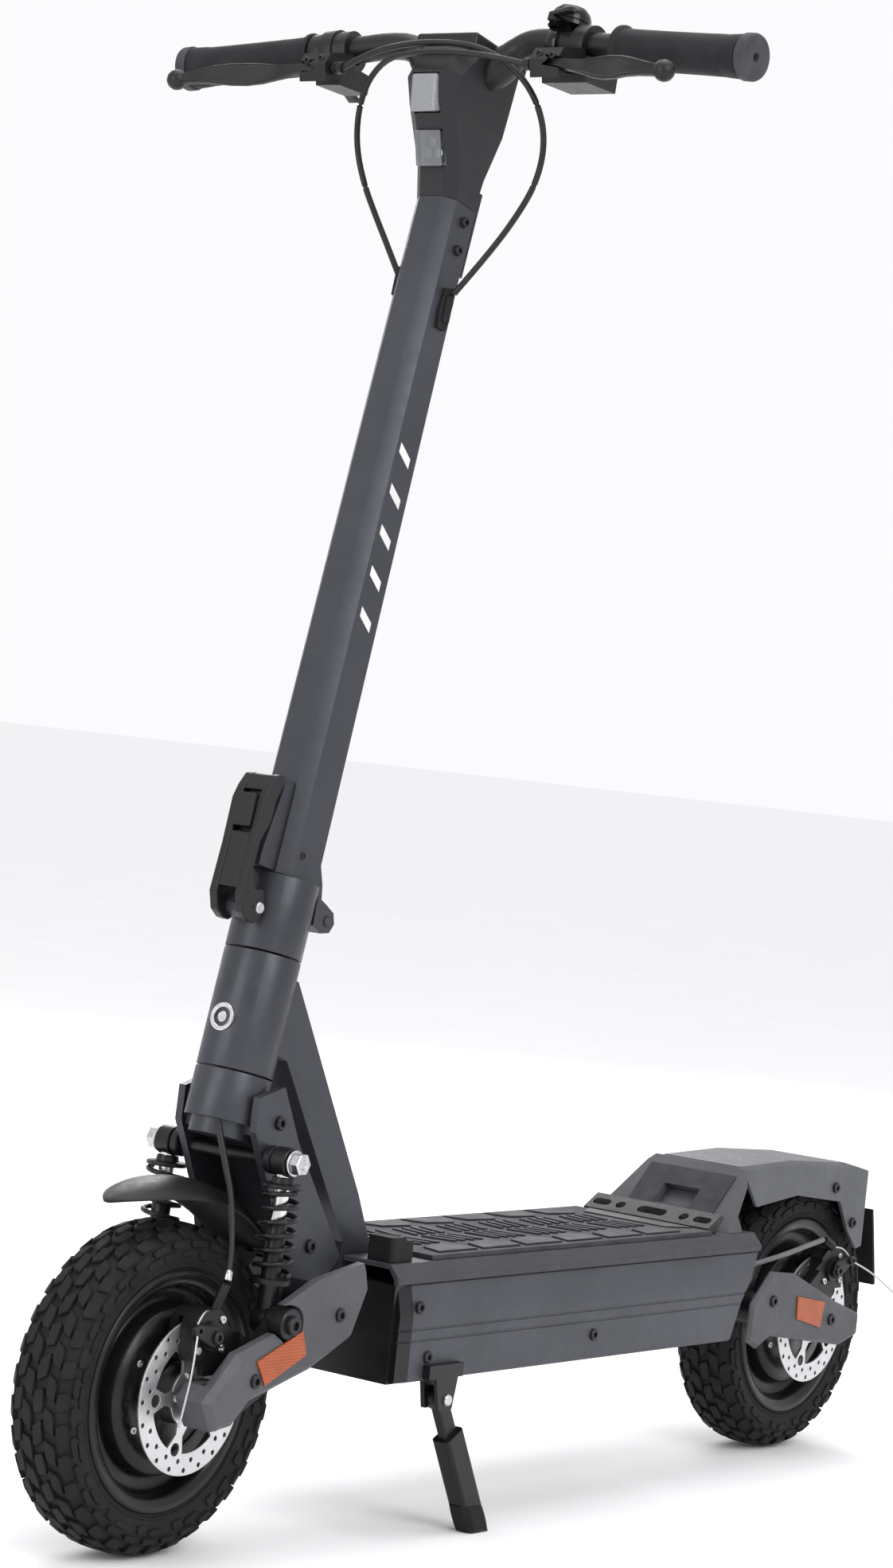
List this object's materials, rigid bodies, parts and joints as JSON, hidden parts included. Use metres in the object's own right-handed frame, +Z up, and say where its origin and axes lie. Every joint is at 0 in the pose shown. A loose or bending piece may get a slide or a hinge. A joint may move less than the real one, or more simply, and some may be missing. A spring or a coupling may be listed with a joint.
{
  "type": "electric kick scooter",
  "caption": "Folding electric kick scooter with hub motor wheels, disc brakes, twin front shocks, deck, fender, kickstand and cockpit.",
  "frame": {"origin": "on the floor, under the middle of the scooter's whole length and width", "axes": "+X forward, +Y to the rider's left, +Z up"},
  "size_m": [1.1886, 0.57, 1.2272],
  "materials": {
    "frame_grey": "satin",
    "frame_black": "satin",
    "cast_black": "satin",
    "cover_grey": "satin",
    "plastic_black": "satin",
    "rubber_black": "matte",
    "mat_rubber": "matte",
    "tyre_rubber": "matte",
    "disc_steel": "brushed",
    "bolt_steel": "polished",
    "rod_chrome": "polished",
    "reflector_orange": "gloss",
    "lens_clear": "gloss",
    "cap_grey": "satin",
    "cable_black": "satin",
    "cable_silver": "satin",
    "cell_blue": "satin",
    "controller_metal": "satin",
    "display_black": "gloss",
    "caliper_metal": "satin"
  },
  "bodies": {
    "deck": {"deck_shell": "cast_black", "deck_cover": "frame_grey", "deck_mat": "mat_rubber", "side_panels": "cover_grey", "battery_pack": "cell_blue", "motor_controller": "controller_metal", "main_frame": "frame_grey", "headset_bearings": "bolt_steel", "kick_plate": "cover_grey", "tail_hook_bar": "frame_black", "rear_fender": "cover_grey", "mudflap": "rubber_black", "deck_screws": "frame_black"},
    "charge_cap": {"charge_cap": "rubber_black"},
    "fork": {"fork_column": "frame_grey", "fork_legs": "frame_grey", "fork_bolts": "bolt_steel", "front_mudguard": "plastic_black", "hinge_base": "frame_grey", "front_shock_upper": "rod_chrome", "front_springs": "frame_black", "front_brake_cable": "cable_silver"},
    "shock_lower": {"front_shock_lower": "frame_black"},
    "front_arm": {"front_arms": "frame_black", "front_arm_covers": "cover_grey", "front_reflectors": "reflector_orange", "front_caliper": "caliper_metal"},
    "front_caliper_lever": {"front_caliper_lever": "caliper_metal"},
    "front_wheel": {"front_tyre": "tyre_rubber", "front_wheel": "cast_black", "front_disc": "disc_steel", "front_wheel_bolts": "bolt_steel"},
    "rear_arm": {"rear_arms": "frame_black", "rear_arm_covers": "cover_grey", "rear_reflectors": "reflector_orange", "rear_caliper": "caliper_metal", "rear_brake_cable": "cable_silver"},
    "rear_caliper_lever": {"rear_caliper_lever": "caliper_metal"},
    "rear_wheel": {"rear_tyre": "tyre_rubber", "rear_wheel": "cast_black", "rear_disc": "disc_steel", "rear_wheel_bolts": "bolt_steel"},
    "stem": {"stem_tube": "frame_grey", "cockpit_housing": "plastic_black", "handlebar": "cast_black", "grips": "rubber_black", "bar_end_caps": "cap_grey", "headlights": "lens_clear", "display_panel": "display_black", "lever_clamps": "cast_black", "bell_body": "display_black", "cockpit_cables": "cable_black"},
    "fold_lever": {"fold_lever": "frame_black"},
    "fold_button": {"fold_button": "plastic_black"},
    "brake_lever_left": {"brake_lever_left": "cast_black"},
    "brake_lever_right": {"brake_lever_right": "cast_black"},
    "throttle_paddle": {"throttle_paddle": "plastic_black"},
    "bell_lever": {"bell_lever": "plastic_black"},
    "power_button": {"power_button": "cap_grey"},
    "kickstand": {"kickstand": "frame_black"}
  },
  "joints": [
    {"name": "steering", "type": "hinge", "parent": "deck", "child": "fork", "pos_m": [0.38713, 0, 0.40988], "axis": [-0.2181, 0, 0.9759], "range_deg": [-45, 45]},
    {"name": "stem_fold", "type": "hinge", "parent": "fork", "child": "stem", "pos_m": [0.33085, 0, 0.48748], "axis": [0, -1, 0], "range_deg": [0, 88]},
    {"name": "fold_lever_swing", "type": "hinge", "parent": "fork", "child": "fold_lever", "pos_m": [0.40893, 0, 0.49571], "axis": [0, 1, 0], "range_deg": [0, 80]},
    {"name": "fold_button_press", "type": "slide", "parent": "fold_lever", "child": "fold_button", "axis": [-0.9759, 0, -0.2181], "range_m": [0, 0.0018], "stiffness_N_per_m": 600, "springref_m": -0.001},
    {"name": "front_suspension", "type": "hinge", "parent": "fork", "child": "front_arm", "pos_m": [0.34675, 0, 0.195], "axis": [0, -1, 0], "range_deg": [0, 9], "stiffness_Nm_per_rad": 160, "springref_deg": -8.59, "deforming": ["front_brake_cable"]},
    {"name": "front_shock_travel", "type": "slide", "parent": "fork", "child": "shock_lower", "axis": [-0.0495, 0, 0.9988], "range_m": [0, 0.009], "deforming": ["front_springs"]},
    {"name": "front_caliper_pull", "type": "hinge", "parent": "front_arm", "child": "front_caliper_lever", "pos_m": [0.46875, 0.065, 0.176], "axis": [0, -1, 0], "range_deg": [0, 18], "stiffness_Nm_per_rad": 0.4, "springref_deg": -5.73},
    {"name": "front_wheel_spin", "type": "hinge", "parent": "front_arm", "child": "front_wheel", "pos_m": [0.46675, 0, 0.1275], "axis": [0, 1, 0], "continuous": true},
    {"name": "rear_suspension", "type": "hinge", "parent": "deck", "child": "rear_arm", "pos_m": [-0.30725, 0, 0.15], "axis": [0, 1, 0], "range_deg": [0, 3.5], "stiffness_Nm_per_rad": 220, "springref_deg": -8.59},
    {"name": "rear_caliper_pull", "type": "hinge", "parent": "rear_arm", "child": "rear_caliper_lever", "pos_m": [-0.45725, 0.065, 0.176], "axis": [0, 1, 0], "range_deg": [0, 18], "stiffness_Nm_per_rad": 0.4, "springref_deg": -5.73},
    {"name": "rear_wheel_spin", "type": "hinge", "parent": "rear_arm", "child": "rear_wheel", "pos_m": [-0.45325, 0, 0.1275], "axis": [0, 1, 0], "continuous": true},
    {"name": "brake_left", "type": "hinge", "parent": "stem", "child": "brake_lever_left", "pos_m": [0.27468, 0.116, 1.16965], "axis": [-0.185, 0.1447, 0.972], "range_deg": [0, 12], "stiffness_Nm_per_rad": 2, "springref_deg": -5.73},
    {"name": "brake_right", "type": "hinge", "parent": "stem", "child": "brake_lever_right", "pos_m": [0.27468, -0.116, 1.16965], "axis": [0.185, 0.1447, -0.972], "range_deg": [0, 12], "stiffness_Nm_per_rad": 2, "springref_deg": -5.73},
    {"name": "throttle", "type": "hinge", "parent": "stem", "child": "throttle_paddle", "pos_m": [0.22975, -0.06, 1.1965], "axis": [0.0685, -0.9943, -0.0816], "range_deg": [0, 25], "stiffness_Nm_per_rad": 0.3, "springref_deg": -11.46},
    {"name": "bell_strike", "type": "hinge", "parent": "stem", "child": "bell_lever", "pos_m": [0.25033, 0.095, 1.21442], "axis": [-0.2181, 0, 0.9759], "range_deg": [0, 25], "stiffness_Nm_per_rad": 0.1, "springref_deg": -11.46},
    {"name": "power_press", "type": "slide", "parent": "stem", "child": "power_button", "axis": [0.2181, 0, -0.9759], "range_m": [0, 0.0015], "stiffness_N_per_m": 400, "springref_m": -0.001},
    {"name": "charge_cap_open", "type": "hinge", "parent": "deck", "child": "charge_cap", "pos_m": [0.23475, 0.059, 0.2224], "axis": [0, -1, 0], "range_deg": [0, 88]},
    {"name": "kickstand_swing", "type": "hinge", "parent": "deck", "child": "kickstand", "pos_m": [0.19975, 0.085, 0.112], "axis": [0, 1, 0], "range_deg": [0, 56]}
  ],
  "couplings": [
    {"joint": "front_shock_travel", "follows": "front_suspension", "m_per_rad": 0.0552},
    {"joint": "front_caliper_pull", "follows": "brake_right", "ratio": 1.5},
    {"joint": "rear_caliper_pull", "follows": "brake_left", "ratio": 1.5}
  ]
}
